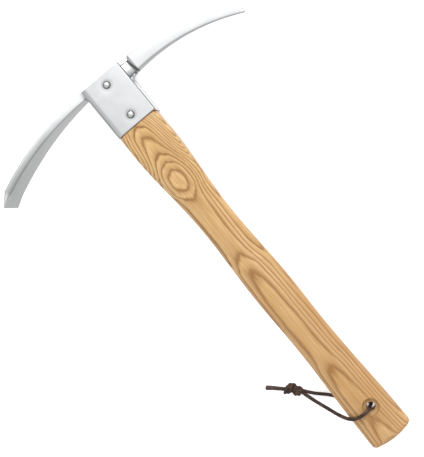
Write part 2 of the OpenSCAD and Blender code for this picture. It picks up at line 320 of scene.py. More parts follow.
class Graph:
    """One material's nodes, on the tool's own axes. A value that is a socket is linked. Others are set."""

    def __init__(self, name):
        self.material = bpy.data.materials.new(name)
        self.material.use_nodes = True
        self.tree = self.material.node_tree
        self.shader = self.tree.nodes["Principled BSDF"]
        self.place = self.add("ShaderNodeMapping", {
            "Vector": self.tree.nodes.new("ShaderNodeTexCoord").outputs["Object"],
            "Location": TOOL.to_translation(), "Rotation": TOOL.to_euler(),
        }, vector_type="TEXTURE")

    def put(self, socket, value):
        if isinstance(value, bpy.types.NodeSocket):
            self.tree.links.new(value, socket)
        else:
            socket.default_value = value

    def add(self, kind, inputs, output=0, **settings):
        node = self.tree.nodes.new(kind)
        for key, value in settings.items():
            setattr(node, key, value)
        for key, value in inputs.items():
            self.put(node.inputs[key], value)
        return node.outputs[output]

    def math(self, operation, *values):
        return self.add("ShaderNodeMath", dict(enumerate(values)), operation=operation)

    def most(self, first, *others):
        """The highest of several values."""
        for other in others:
            first = self.math("MAXIMUM", first, other)
        return first

    def scaled(self, x, y, z):
        """The place on the object, multiplied along each axis. The unit is a metre before."""
        return self.add("ShaderNodeVectorMath", {0: self.place, 1: (x, y, z)}, operation="MULTIPLY")

    def axes(self):
        """The place on the object as x, y and z in millimetres."""
        split = self.tree.nodes.new("ShaderNodeSeparateXYZ")
        self.put(split.inputs[0], self.scaled(1 / MM, 1 / MM, 1 / MM))
        return split.outputs

    def noise(self, vector, scale=1.0, detail=2.0, roughness=0.5, distortion=0.0):
        """Noise from about 0.2 to 0.8, with a middle of 0.5."""
        return self.add("ShaderNodeTexNoise", {
            "Vector": vector, "Scale": scale, "Detail": detail,
            "Roughness": roughness, "Distortion": distortion,
        })

    def range(self, value, low, high, to_low=0.0, to_high=1.0):
        return self.add("ShaderNodeMapRange", {
            "Value": value, "From Min": low, "From Max": high, "To Min": to_low, "To Max": to_high,
        })

    def ramp(self, value, *stops):
        """Colours or levels at places from 0 to 1."""
        node = self.tree.nodes.new("ShaderNodeValToRGB")
        fill_ramp(node, stops)
        self.put(node.inputs["Fac"], value)
        return node.outputs["Color"]

    def mix(self, factor, a, b, kind="MIX"):
        node = self.tree.nodes.new("ShaderNodeMix")
        node.data_type = "RGBA"
        node.blend_type = kind
        for key, value in (("Factor_Float", factor), ("A_Color", a), ("B_Color", b)):
            socket = next(s for s in node.inputs if s.identifier == key)
            self.put(socket, value)
        return next(s for s in node.outputs if s.identifier == "Result_Color")

    def bump(self, height, distance, normal=None):
        inputs = {"Height": height, "Distance": distance, "Strength": 1.0}
        if normal:
            inputs["Normal"] = normal
        return self.add("ShaderNodeBump", inputs)

    def surface(self, **values):
        """Sets the shader's sockets."""
        for key, value in values.items():
            self.put(self.shader.inputs[key.replace("_", " ").title().replace("Ior", "IOR")], value)
        return self.material


def linear(r, g, b):
    """A screen colour from 0 to 255, as the light that shaders use."""
    shares = [c / 255 for c in (r, g, b)]
    return tuple(c / 12.92 if c <= 0.04 else ((c + 0.055) / 1.055) ** 2.4 for c in shares) + (1,)


# The ash's figure. Along the handle's top, at FIGURE_Y, CROWN_RINGS gives how many growth rings lie above the
# eye near the head, from (distance, rings) points. SIDE_RINGS gives how many more lie to each side of there.
FIGURE_Y = -2.3
CROWN_RINGS = [
    (0, 7.5), (50, 4.4), (55, 4), (66.5, 3), (76, 2.6), (86, 2), (95.6, 1), (104.6, 0), (109, -0.3),
    (114, -0.42), (120, -0.3), (125.8, 0), (133, 0.8), (145, 1.3), (168, 1.5), (190, 1.35), (201, 1),
    (210, 0.5), (218, 0), (228, -0.2), (245, -0.38), (270, -0.4), (300, -0.35), (314, -0.5), (326, -1),
    (350, -1.45), (380, -2), (407, -2.7),
]
SIDE_RINGS = [
    (0, 0), (2, 0.08), (4, 0.22), (6.2, 0.45), (9.6, 1.3), (12, 2.3), (14, 3.2), (17, 4.8), (23, 8.5),
]
RINGS_PER_MM = 0.25
RING_PROFILE = [(0, 1), (0.1, 0.9), (0.24, 0.38), (0.55, 0.12), (0.8, 0), (0.93, 0.5), (1, 1)]
GRAIN_RUN_OUT = 0.8
GRAIN_RUN_OUT_Z = 13.0
FIGURE_WANDER = 1.7
RING_RIPPLE = 0.22
# Painted shade: from the first of the next two distances to the second, the wood darkens towards the butt,
# for the light falling off away from the head.
FALLOFF_FROM = 70
FALLOFF_TO = 300
FALLOFF_TONE = 0.36

ASH_DULL = linear(180, 144, 90)
ASH_EVEN = linear(191, 155, 99)
ASH_BRIGHT = linear(204, 171, 119)
ASH_STREAK = linear(222, 192, 146)
ASH_RING = linear(118, 78, 32)
ASH_FIBRE = linear(158, 113, 64)
ASH_PORE = linear(120, 78, 42)
# The colour of the painted shade towards the butt.
ASH_FALLOFF_SHADE = linear(150, 104, 58)


def curve_through(graph, value, points):
    """A smooth curve through points of (value, result), in order of value."""
    start, end = points[0][0], points[-1][0]
    low = min(result for _, result in points)
    high = max(result for _, result in points)
    node = graph.tree.nodes.new("ShaderNodeFloatCurve")
    curve = node.mapping.curves[0]
    while len(curve.points) < len(points):
        curve.points.new(0.5, 0.5)
    for point, (place, result) in zip(curve.points, points):
        point.location = ((place - start) / (end - start), (result - low) / (high - low))
        point.handle_type = "AUTO"
    node.mapping.update()
    graph.put(node.inputs["Value"], graph.range(value, start, end))
    return graph.range(node.outputs["Value"], 0.0, 1.0, low, high)


def along_crown(graph, x):
    """The growth along the middle of the handle, as if its top were at z = 0."""
    points = [(place, rings - width_at(place) / 2 * FLATNESS * RINGS_PER_MM) for place, rings in CROWN_RINGS]
    return curve_through(graph, x, points)


def ash_wood():
    """Oiled ash: growth rings that run out through the surface, with pores in their early wood. Painted shade
    darkens it along the handle towards the butt.
    """
    g = Graph("ash_wood")
    x, y, z = g.axes()

    wander = g.range(g.noise(g.scaled(9, 50, 50), detail=1), 0.0, 1.0, -FIGURE_WANDER, FIGURE_WANDER)
    ripple = g.range(g.noise(g.scaled(38, 330, 330), detail=2), 0.0, 1.0, -RING_RIPPLE, RING_RIPPLE)
    side = g.math("ABSOLUTE", g.math("ADD", g.math("SUBTRACT", y, FIGURE_Y), wander))
    rise = curve_through(g, side, SIDE_RINGS)
    run_out = g.math("ADD", x, g.math("MULTIPLY", g.math("SUBTRACT", z, GRAIN_RUN_OUT_Z), -GRAIN_RUN_OUT))
    level = g.math("ADD", along_crown(g, run_out), g.math("MULTIPLY", z, RINGS_PER_MM))
    growth = g.math("ADD", g.math("ADD", level, rise), ripple)
    ring = g.math("FRACT", growth)
    year = g.add("ShaderNodeCombineXYZ", {"X": g.math("FLOOR", g.math("ADD", growth, 0.5))})
    year_tone = g.noise(year, scale=0.9, detail=0)

    line = g.ramp(ring, *[(place, (level, level, level)) for place, level in RING_PROFILE])
    strength = g.range(year_tone, 0.3, 0.7, 0.75, 1.0)
    dark = g.math("MULTIPLY", line, strength)
    pores = g.range(g.noise(g.scaled(110, 2400, 2400), detail=2), 0.5, 0.66)
    pore_marks = g.math("MULTIPLY", pores, g.range(line, 0.0, 1.0, 0.15, 0.8))
    fibre = g.noise(g.scaled(40, 1300, 1300), detail=3)
    streaks = g.noise(g.scaled(22, 620, 620), detail=2)
    blotch = g.noise(g.scaled(8, 45, 45), detail=2)

    base = g.ramp(blotch, (0.3, ASH_DULL), (0.5, ASH_EVEN), (0.7, ASH_BRIGHT))
    streaked = g.mix(g.range(streaks, 0.42, 0.66, 0.0, 0.35), base, ASH_STREAK)
    ringed = g.mix(dark, streaked, ASH_RING)
    fibred = g.mix(g.range(fibre, 0.35, 0.7, 0.0, 0.42), ringed, ASH_FIBRE)
    pored = g.mix(g.math("MULTIPLY", pore_marks, 0.6), fibred, ASH_PORE)
    # Painted shade, darker along the handle towards the butt.
    colour = g.mix(g.range(x, FALLOFF_FROM, FALLOFF_TO, 0.0, FALLOFF_TONE), pored, ASH_FALLOFF_SHADE)
    relief = g.math("ADD", g.math("MULTIPLY", pore_marks, -0.6), g.math("MULTIPLY", dark, -0.35))
    return g.surface(
        base_color=colour, roughness=g.range(fibre, 0.3, 0.7, 0.42, 0.56), specular_ior_level=0.42,
        coat_weight=0.12, coat_roughness=0.35, normal=g.bump(relief, 0.00006),
    )


# Where the steel is painted darker, in millimetres: painted shade round the rivets, along the seams of the
# side plate, in the groove and along the rest of the pick's neck, and a darker tone down the blade. A tone is
# the share of the dark colour.
STEEL_DULL = linear(226, 227, 228)
STEEL_BRIGHT = linear(233, 234, 235)
# The grey of the painted shade round each rivet on the sheet.
RIVET_HALO_SHADE = linear(120, 120, 121)
# The near-black of the painted shadow along the seams of the side plate.
SEAM_SHADOW_DARK = linear(52, 50, 48)
# The colour of the painted shade on the forged steel, and of its darker tone down the blade.
SHADE_AND_DARK_STEEL = linear(58, 56, 54)
HALO_R = (3.6, 6.2)
HALO_TONE = 0.4
# Painted shade: each rivet head darkens towards its rim, between the next two radii.
FOOT_R = (1.9, 3.2)
FOOT_TONE = 0.85
RIVET_ZONE = (10.0, 11.0)
SEAM_FROM = 10.5
# Painted shade: a dark line along the groove where the pick's neck meets its shoulder.
GROOVE_Y = 26.6
GROOVE_SLOPE = 0.24
GROOVE_HALF = (0.7, 2.0)
GROOVE_TONE = 0.85
# Painted shade over the pick's recessed neck, darker towards its end at the gusset.
NECK_END = (28.0, 31.0)
NECK_TONE = 0.42
NECK_LOW_END = (11.0, 17.0)
NECK_LOW_TONE = 0.75
# The blade grows darker from the first of these heights to the second, towards its edge.
DARKER_FROM = -55.0
DARKER_TO = -125.0
DARKER_TONE = 0.18


def polished_steel(name, grain):
    """Satin-polished stainless steel. grain says how the fine polishing marks stretch along each axis."""
    g = Graph(name)
    marks = g.noise(g.scaled(*grain), detail=3, roughness=0.6)
    haze = g.noise(g.scaled(60, 60, 60), detail=3)
    colour = g.mix(g.range(haze, 0.3, 0.7), STEEL_DULL, STEEL_BRIGHT)
    roughness = g.math("ADD", g.range(haze, 0.3, 0.7, 0.15, 0.22), g.range(marks, 0.3, 0.7, -0.03, 0.05))
    height = g.math("ADD", g.math("MULTIPLY", marks, 0.12), g.noise(g.scaled(110, 110, 110), detail=1))
    return g, colour, roughness, g.bump(height, 0.00005)


def from_rivet(g, axes):
    """The distance to the nearer rivet's middle, in millimetres. They mirror about a point between them."""
    middle = sum(RIVET_X) / 2
    along = g.math("SUBTRACT", g.math("ABSOLUTE", g.math("SUBTRACT", axes[0], middle)), RIVET_X[1] - middle)
    across = g.math("SUBTRACT", axes[1], RIVET_Y)
    return g.math("SQRT", g.math("ADD", g.math("POWER", along, 2.0), g.math("POWER", across, 2.0)))


def sheet_steel():
    """The socket's sheet, with painted shade round the rivets and a near-black painted shadow along the seams
    of the welded side plate.
    """
    g, colour, roughness, normal = polished_steel("sheet_steel", (900, 120, 900))
    axes = g.axes()
    # Painted shadow: beside the seams of the side plate, the wrap's cut edges and the plate's edges are
    # painted near black, nearly 4 mm wide, for the shadow gap between them.
    on_side = g.range(axes[1], PICK_SIDE_Y - 0.5, PICK_SIDE_Y - 0.2)
    at_seam = g.range(g.math("ABSOLUTE", axes[2]), SEAM_FROM, SEAM_FROM + 1)
    seam_shadow = g.math("MULTIPLY", on_side, at_seam)
    # Painted shade: a grey halo round each rivet, fading out between the two radii of HALO_R.
    halo = g.range(from_rivet(g, axes), *HALO_R, HALO_TONE, 0.0)
    halo_shaded = g.mix(halo, colour, RIVET_HALO_SHADE)
    return g.surface(
        base_color=g.mix(seam_shadow, halo_shaded, SEAM_SHADOW_DARK), metallic=1.0,
        roughness=g.math("ADD", roughness, g.math("MULTIPLY", seam_shadow, 0.25)), normal=normal,
    )


def forged_steel():
    """Forged and ground steel, with painted shade at the rivets' feet, in the groove and over the pick's
    neck, and darker towards the blade's edge.
    """
    g, colour, roughness, normal = polished_steel("forged_steel", (900, 140, 900))
    axes = g.axes()
    is_rivet = g.range(g.math("ABSOLUTE", axes[1]), *RIVET_ZONE, 1.0, 0.0)
    # Painted shade round the rim of each rivet head.
    foot = g.math("MULTIPLY", g.range(from_rivet(g, axes), *FOOT_R, 0.0, FOOT_TONE), is_rivet)
    # Painted shade along the groove under the pick's shoulder.
    groove_y = g.math("ADD", g.math("MULTIPLY", axes[0], GROOVE_SLOPE), GROOVE_Y)
    from_groove = g.math("ABSOLUTE", g.math("SUBTRACT", axes[1], groove_y))
    groove = g.range(from_groove, *GROOVE_HALF, GROOVE_TONE, 0.0)
    # Painted shade over the recessed neck, between the socket's side and the shoulder, darker towards the
    # gusset.
    past_socket = g.range(axes[1], PICK_SIDE_Y - 1, PICK_SIDE_Y)
    before_shoulder = g.range(axes[1], *NECK_END, 1.0, 0.0)
    neck_tone = g.range(axes[0], *NECK_LOW_END, NECK_TONE, NECK_LOW_TONE)
    neck = g.math("MULTIPLY", past_socket, g.math("MULTIPLY", before_shoulder, neck_tone))
    # Darker down the blade, towards its edge.
    darker_down_blade = g.range(axes[1], DARKER_FROM, DARKER_TO, 0.0, DARKER_TONE)
    # The painted shade at the rivet heads, in the groove and over the neck, and the darker tone down the
    # blade.
    dark = g.most(foot, groove, neck, darker_down_blade)
    return g.surface(
        base_color=g.mix(dark, colour, SHADE_AND_DARK_STEEL), metallic=1.0, roughness=roughness, normal=normal,
    )


# Darker than the polished steel: partly the weld's own finish, partly painted shade in the corners that the
# welds fill.
WELD_DULL = linear(176, 176, 178)
WELD_BRIGHT = linear(208, 209, 212)


def weld_steel():
    """The same steel where it was welded and ground: duller, with small ripples left from the bead. Its
    darker grey is partly painted shade, for the corners that the welds fill.
    """
    g = Graph("weld_steel")
    ripples = g.noise(g.scaled(500, 700, 500), detail=3, roughness=0.6)
    tint = g.noise(g.scaled(150, 150, 150), detail=2)
    colour = g.mix(g.range(tint, 0.3, 0.7), WELD_DULL, WELD_BRIGHT)
    return g.surface(
        base_color=colour, metallic=1.0, roughness=g.range(ripples, 0.3, 0.7, 0.28, 0.42),
        normal=g.bump(ripples, 0.00018),
    )


LACE_DARK = linear(38, 24, 17)
LACE_EVEN = linear(54, 36, 27)
LACE_RUBBED = linear(84, 57, 43)
LACE_CREASE = linear(26, 16, 12)


def lace_leather():
    """Dark waxed leather, with fine grain, and rubbed lighter in places."""
    g = Graph("lace_leather")
    grain = g.add("ShaderNodeTexVoronoi", {"Vector": g.place, "Scale": 1700.0, "Randomness": 1.0})
    creases = g.noise(g.place, scale=650.0, detail=4, roughness=0.6)
    rubbed = g.noise(g.place, scale=190.0, detail=3)
    colour = g.ramp(rubbed, (0.3, LACE_DARK), (0.5, LACE_EVEN), (0.72, LACE_RUBBED))
    creased = g.mix(g.range(creases, 0.5, 0.72, 0.0, 0.6), colour, LACE_CREASE)
    height = g.math("ADD", g.math("MULTIPLY", grain, 0.35), creases)
    return g.surface(
        base_color=creased, roughness=g.range(creases, 0.3, 0.7, 0.48, 0.66), specular_ior_level=0.4,
        normal=g.bump(height, 0.00022),
    )


ASH = ash_wood()
SHEET_STEEL = sheet_steel()
FORGED_STEEL = forged_steel()
WELD = weld_steel()
LEATHER = lace_leather()


# ---- Camera, floor and light ----

CAMERA_AT = Vector((0.0291, 0.1581, 1.062))
CAMERA_AIM = Vector((-0.038, -0.0073, 0.01735))
CAMERA_UP = Vector((-0.775, 0.632, 0))
CAMERA_ROLL = -0.589
VIEW_HEIGHT = 21.546


def make_camera():
    data = bpy.data.cameras.new("camera")
    data.sensor_fit = "VERTICAL"
    data.angle = radians(VIEW_HEIGHT)
    data.clip_start = 0.01
    data.clip_end = 50
    camera = bpy.data.objects.new("camera", data)
    bpy.context.scene.collection.objects.link(camera)
    back = (CAMERA_AT - CAMERA_AIM).normalized()
    right = CAMERA_UP.cross(back).normalized()
    up = back.cross(right)
    turn = Matrix((right, up, back)).transposed() @ Matrix.Rotation(radians(CAMERA_ROLL), 3, "Z")
    camera.matrix_world = Matrix.Translation(CAMERA_AT) @ turn.to_4x4()
    bpy.context.scene.camera = camera


FLOOR_R = 3000
WALL_BEND_R = 1500
WALL_H = 2500
FLOOR_TONE = 0.86
FLOOR_GLOW = 0.5


def make_floor():
    """A white floor that bends up into a wall all round. Polished metal reflects the room in its place."""
    profile = [(0.01, 0), (1000, 0), (FLOOR_R - WALL_BEND_R, 0)]
    profile += [(FLOOR_R - WALL_BEND_R * (1 - sin(radians(a))), WALL_BEND_R * (1 - cos(radians(a))))
                for a in spread(6, 90, 6)]
    profile.append((FLOOR_R, WALL_H))
    vertices, faces = lathe(profile, 96)
    floor = make_mesh("floor", (vertices, faces[:-2]), GROUND)
    g = Graph("floor_white")
    g.surface(
        base_color=(FLOOR_TONE, FLOOR_TONE, FLOOR_TONE, 1), roughness=0.9, specular_ior_level=0.0,
        emission_color=(1, 1, 1, 1), emission_strength=FLOOR_GLOW,
    )
    floor.data.materials.append(g.material)
    floor.visible_glossy = False


# The room as polished metal sees it. Above, it grows brighter along SKY_LEAN, and below, along GROUND_LEAN.
SKY_LEAN = (-0.6, 0.8, 0)
SKY_LEVELS = [
    (-1, 0.9), (-0.6, 0.8), (-0.3, 0.62), (-0.05, 0.74), (0.08, 1.05), (0.2, 1.3), (0.5, 1.3), (1, 1.2),
]
GROUND_LEAN = (-0.3, 0.95, 0)
GROUND_LEVELS = [(-1, 0.52), (-0.3, 0.56), (-0.1, 0.62), (0.02, 0.8), (0.12, 1.15), (0.4, 1.1), (1, 0.5)]
HORIZON_LEVELS = [(-1, 1), (-0.7, 1), (-0.3, 0.7), (0.25, 0.7), (0.75, 0.9), (0.9, 1), (1, 1)]


def make_world():
    """A bright room with a dark horizon. It is brightest over the pick."""
    world = bpy.data.worlds.new("studio")
    bpy.context.scene.world = world
    world.use_nodes = True
    tree = world.node_tree
    direction = tree.nodes.new("ShaderNodeTexCoord").outputs["Generated"]

    def level_along(lean, levels):
        along = tree.nodes.new("ShaderNodeVectorMath")
        along.operation = "DOT_PRODUCT"
        along.inputs[1].default_value = Vector(lean).normalized()
        tree.links.new(direction, along.inputs[0])
        share = tree.nodes.new("ShaderNodeMapRange")
        share.inputs["From Min"].default_value = -1
        tree.links.new(along.outputs["Value"], share.inputs["Value"])
        ramp = tree.nodes.new("ShaderNodeValToRGB")
        fill_ramp(ramp, [((place + 1) / 2, (level, level, level)) for place, level in levels])
        tree.links.new(share.outputs["Result"], ramp.inputs["Fac"])
        return ramp.outputs["Color"]

    def combine(kind, factor, a, b):
        mix = tree.nodes.new("ShaderNodeMixRGB")
        mix.blend_type = kind
        for key, value in (("Fac", factor), ("Color1", a), ("Color2", b)):
            if isinstance(value, bpy.types.NodeSocket):
                tree.links.new(value, mix.inputs[key])
            else:
                mix.inputs[key].default_value = value
        return mix.outputs["Color"]

    above = level_along((0, 0, 1), [(-1, 0), (-0.2, 0), (0.2, 1), (1, 1)])
    room = combine("MIX", above, level_along(GROUND_LEAN, GROUND_LEVELS), level_along(SKY_LEAN, SKY_LEVELS))
    dimmed = combine("MULTIPLY", 1.0, room, level_along((0, 0, 1), HORIZON_LEVELS))
    tree.links.new(dimmed, tree.nodes["Background"].inputs["Color"])


KEY_AT = Vector((-1.1, 0.9, 1.3))
KEY_SIZE = (0.9, 0.7)
KEY_POWER = 20


def make_key_light():
    """A soft box that looks at the middle of the tool."""
    data = bpy.data.lights.new("key", "AREA")
    data.shape = "RECTANGLE"
    data.size, data.size_y = KEY_SIZE
    data.energy = KEY_POWER
    light = bpy.data.objects.new("key", data)
    bpy.context.scene.collection.objects.link(light)
    light.location = KEY_AT
    light.rotation_euler = KEY_AT.to_track_quat("Z", "Y").to_euler()


make_camera()
make_floor()
make_world()
make_key_light()
bpy.context.scene.view_settings.view_transform = "Standard"


# ---- Thong ----

LACE_STEP = 0.8
LACE_POINTS = 24
LACE_SQUARENESS = 3


def lace_section(scale=1.0, end_round=0.0):
    """The lace's section along its length: a rounded square, drawn in over end_round at both ends."""
    def section(u):
        edge = min(u, 1 - u)
        share = scale
        if end_round and edge < end_round:
            share *= sqrt(1 - (1 - edge / end_round) ** 2) * 0.35 + 0.65
        half = LACE_D / 2 * share
        return oval(half, half, LACE_SQUARENESS, LACE_POINTS)
    return section


def knot_point(u, reach, angle):
    """A point of the knot: how far along it, how far from its middle line, and which way round."""
    side = reach * cos(radians(angle))
    rise = reach * sin(radians(angle)) * KNOT_SQUASH
    a = radians(KNOT_HEADING)
    return Vector(KNOT_POS) + Vector((u * cos(a) - side * sin(a), u * sin(a) + side * cos(a), rise))


# One strand of the overhand knot: in through the core, back round it in one turn, and out through the core.
KNOT_KEYS = [
    (-6.5, 1.7, 0), (-3, 1.7, 0), (2, 1.7, 0), (5.2, 2.2, 5), (6.6, 3.6, 30), (5.2, 4.3, 75), (3.8, 4.3, 130),
    (2.2, 4.3, 190), (0.6, 4.3, 250), (-0.9, 4.3, 310), (-2.6, 4.2, 365), (-4.6, 3.6, 415), (-5.4, 2.3, 445),
    (-3, 1.7, 450), (1, 1.7, 450), (6, 1.6, 450),
]
KNOT_CORE_REACH = 1.7
KNOT_WRAP_RISE = 2.4
KNOT_STRAND_GAP = 2.9
KNOT_STRAND_TURN = 180
KNOT_LACE_SHARE = 0.94
KNOT_SQUASH = 0.86
KNOT_EXIT = (8, 1.6)


def knot_route(start, turn, shift, exit_point):
    """One strand's route through the knot. Inside the core it is turned, and in the wrap it is shifted."""
    route = [Vector(start)]
    for u, reach, angle in KNOT_KEYS:
        wrapped = ease((reach - KNOT_CORE_REACH) / KNOT_WRAP_RISE)
        route.append(knot_point(u - shift * wrapped, reach, angle + turn * (1 - wrapped)))
    return route + [Vector(exit_point)]


# The two tails, in the order of their exits: the height of each tip, and how far it swings aside.
TAILS = [(4.8, 0.4), (1.75, -0.3)]


def make_tail(exit_point, height, swing):
    a = radians(KNOT_HEADING)
    ahead = Vector((cos(a), sin(a), 0))
    aside = Vector((-sin(a), cos(a), 0))
    route = [exit_point - ahead * 1.5, exit_point]
    for reach in (5, 10, TAIL_L):
        point = exit_point + ahead * reach + aside * swing * (reach / TAIL_L) ** 2
        point.z = blend(exit_point.z, height, ease(reach / 9))
        route.append(point)
    return tube(smooth_route(route, LACE_STEP), lace_section(end_round=0.04), Vector((0, 0, 1)), 25)


def make_thong():
    upper_path = smooth_route(UPPER_ROUTE, LACE_STEP)
    lower_path = smooth_route(LOWER_ROUTE, LACE_STEP)
    upper = make_mesh("lace_upper_strand", tube(upper_path, lace_section(), Vector((1, 0, 0)), 40), GROUND)
    lower = make_mesh("lace_lower_strand", tube(lower_path, lace_section(), Vector((1, 0, 0)), -30), GROUND)

    exits = [knot_point(*KNOT_EXIT, angle) for angle in (90, 270)]
    strands = []
    for start, turn, shift, exit_point in (
        (UPPER_ROUTE[-1], 0, 0, exits[0]),
        (LOWER_ROUTE[-1], KNOT_STRAND_TURN, KNOT_STRAND_GAP, exits[1]),
    ):
        path = smooth_route(knot_route(start, turn, shift, exit_point), LACE_STEP)
        strands.append(tube(path, lace_section(KNOT_LACE_SHARE), Vector((0, 0, 1))))
    knot = make_mesh("lace_knot", join(*strands), GROUND)

    tails = [make_tail(exit_point, *tail) for exit_point, tail in zip(exits, TAILS)]
    tail_ends = make_mesh("lace_tails", join(*tails), GROUND)

    finish_piece(upper, LEATHER, "lace_leather", "thong_upper_strand")
    finish_piece(lower, LEATHER, "lace_leather", "thong_lower_strand")
    finish_piece(knot, LEATHER, "lace_leather", "thong_knot")
    finish_piece(tail_ends, LEATHER, "lace_leather", "thong_tails")


make_thong()


# ---- Handle ----

HANDLE_POINTS = 128
TENON_POWER = 9
TENON_CHAMFER = 0.4
ROUND_STEPS = 8
DOME_SHARES = (0.92, 0.8, 0.65, 0.5, 0.35, 0.2, 0.05)


def handle_ring(x, inset=0.0, share=1.0, lift=0.0):
    half = width_at(x) / 2
    power = blend(SQUARE_POWER, OVAL_POWER, ease((x - STATIONS[0][0]) / SQUARE_FADE_L))
    section = oval(share * (half - inset), share * (half * FLATNESS - inset), power, HANDLE_POINTS)
    return [(x + lift, y, z) for y, z in section]


def tenon_ring(x, inset=0.0):
    section = oval(TENON_W / 2 - inset, TENON_D / 2 - inset, TENON_POWER, HANDLE_POINTS)
    return [(x, SOCKET_Y + y, z) for y, z in section]


def make_handle():
    shoulder = STATIONS[0][0]
    last = HANDLE_L - BUTT_ROUND - BUTT_DOME_H
    rings = [
        tenon_ring(TENON_TOP, TENON_CHAMFER), tenon_ring(TENON_TOP + TENON_CHAMFER), tenon_ring(shoulder),
    ]
    rings += [handle_ring(shoulder, SHOULDER_ROUND * (1 - sin(a)), lift=SHOULDER_ROUND * (1 - cos(a)))
              for a in (radians(90 * k / 4) for k in range(5))]
    rings += [handle_ring(x) for x in spread(shoulder + 2, last, 2)]
    rings += [handle_ring(last, BUTT_ROUND * (1 - cos(a)), lift=BUTT_ROUND * sin(a))
              for a in (radians(90 * k / ROUND_STEPS) for k in range(1, ROUND_STEPS + 1))]
    rings += [handle_ring(last, BUTT_ROUND, share, BUTT_ROUND + BUTT_DOME_H * (1 - share * share))
              for share in DOME_SHARES]
    handle = make_mesh("handle_ash", loft(rings), TOOL)

    top = width_at(HANG_X) / 2 * FLATNESS
    r = HANG_D / 2
    dish = (HANG_DISH_D - HANG_D) / 2
    lip = [(r + dish * sin(a), top - dish * cos(a))
           for a in (radians(90 * k / ROUND_STEPS) for k in range(ROUND_STEPS + 1))]
    profile = [(r, 0)] + lip + [(r + dish + 0.6, top + 1.5)]
    down = [(p, -h) for p, h in reversed(profile)]
    hole = make_mesh("hole", lathe(down + profile[1:]), tool_at(HANG_X, HANG_Y))
    bore = lathe([(RIVET_D / 2, -SOCKET_D), (RIVET_D / 2, SOCKET_D)])
    bores = [make_mesh("bore", bore, tool_at(x, RIVET_Y)) for x in RIVET_X]
    cut(handle, hole, *bores)
    return finish_piece(handle, ASH, "ash", "handle")


make_handle()


# ---- Socket and rivets ----

EDGE_ROUND = 0.35
DIMPLE_DEPTH = 0.22
DIMPLE_R = 5.5
SHEET_CROWN_X = 0.8
SHEET_CROWN_Y = 0.9
SHEET_STEP = 1.2
DRAWN_FROM = 0.7


def sheet_piece(name, rows):
    """A plate of SHEET_T about a grid of points on its middle surface, with soft edges."""
    n = len(rows[0])
    vertices = [p for row in rows for p in row]
    faces = [
        (i * n + k, i * n + k + 1, (i + 1) * n + k + 1, (i + 1) * n + k)
        for i in range(len(rows) - 1) for k in range(n - 1)
    ]
    piece = make_mesh(name, (vertices, faces), TOOL)
    thicken = piece.modifiers.new("thicken", "SOLIDIFY")
    thicken.thickness = SHEET_T * MM
    thicken.offset = 0
    thicken.use_even_offset = True
    bevel = piece.modifiers.new("soften", "BEVEL")
    bevel.width = EDGE_ROUND * MM
    bevel.segments = 3
    bevel.limit_method = "ANGLE"
    bevel.angle_limit = radians(50)
    bake_modifiers(piece)
    return piece


def drawn_in(x, y):
    """How far the sheet is drawn in around the rivets, and falls away from the middle of the face."""
    dimples = sum(DIMPLE_DEPTH * exp(-(hypot(x - rivet, y - RIVET_Y) / DIMPLE_R) ** 2) for rivet in RIVET_X)
    crown_x = SHEET_CROWN_X * (x / SOCKET_L - 0.5) ** 2
    crown_y = SHEET_CROWN_Y * ((y - SOCKET_Y) / SOCKET_W) ** 2
    return dimples + crown_x + crown_y


def make_socket_wrap():
    """The sheet's middle surface, bent into a U. Only its two faces are drawn in, not the bent side."""
    middle_r = BEND_R - SHEET_T / 2
    half_d = (SOCKET_D - SHEET_T) / 2
    bend_y = BLADE_SIDE_Y + BEND_R
    profile = [(y, half_d) for y in spread(PICK_SIDE_Y, bend_y, SHEET_STEP)[:-1]]
    for start, z in ((90, half_d - middle_r), (180, middle_r - half_d)):
        for a in spread(start, start + 90, 10):
            profile.append((bend_y + middle_r * cos(radians(a)), z + middle_r * sin(radians(a))))
    profile += [(y, -half_d) for y in spread(bend_y, PICK_SIDE_Y, SHEET_STEP)[1:]]
    rows = []
    for x in spread(0, SOCKET_L, SHEET_STEP):
        row = []
        for y, z in profile:
            inward = drawn_in(x, y) * max(0, abs(z) / half_d - DRAWN_FROM) / (1 - DRAWN_FROM)
            row.append((x, y, z - inward if z > 0 else z + inward))
        rows.append(row)
    wrap = sheet_piece("socket_wrap_sheet", rows)
    return finish_piece(wrap, SHEET_STEEL, "polished_steel", "socket_wrap")


def make_side_plate():
    y = PICK_SIDE_Y - SHEET_T / 2
    half = SOCKET_D / 2 - SHEET_T
    rows = [[(x, y, z) for z in spread(-half, half, 2)] for x in spread(0, SOCKET_L, 2)]
    plate = sheet_piece("socket_side_sheet", rows)
    return finish_piece(plate, SHEET_STEEL, "polished_steel", "socket_side_plate")


def make_rivets():
    dome_r = ((RIVET_HEAD_D / 2) ** 2 + RIVET_HEAD_H ** 2) / (2 * RIVET_HEAD_H)
    reach = degrees(asin(RIVET_HEAD_D / 2 / dome_r))
    low = SOCKET_D / 2
    dome = [(dome_r * sin(radians(a)), low + RIVET_HEAD_H - dome_r * (1 - cos(radians(a))))
            for a in spread(reach, 2, 5)]
    half = [(RIVET_D / 2, low - 0.2), (RIVET_HEAD_D / 2 - 0.1, low - 0.15)] + dome
    shape = lathe([(r, -z) for r, z in reversed(half)] + half)
    rivets = [
        make_mesh(name, shape, tool_at(x, RIVET_Y))
        for name, x in zip(("rivet_upper", "rivet_lower"), RIVET_X)
    ]
    for rivet in rivets:
        finish_piece(rivet, FORGED_STEEL, "polished_steel", "rivets")


make_socket_wrap()
make_side_plate()
make_rivets()


# ---- Blade ----

BLADE_ROOT_ROUND = 1
BLADE_TIP_ROUND = 3.2
BLADE_ROOT_LEAN = 0.1
BLADE_TIP_LEAN = 0.3
BLADE_ROOT_SWELL = 1.2
BLADE_SWELL_SWEEP = 6
BLADE_BURIED = 0.4
BLADE_STEP = 0.35
BEVEL_STEP = 0.3


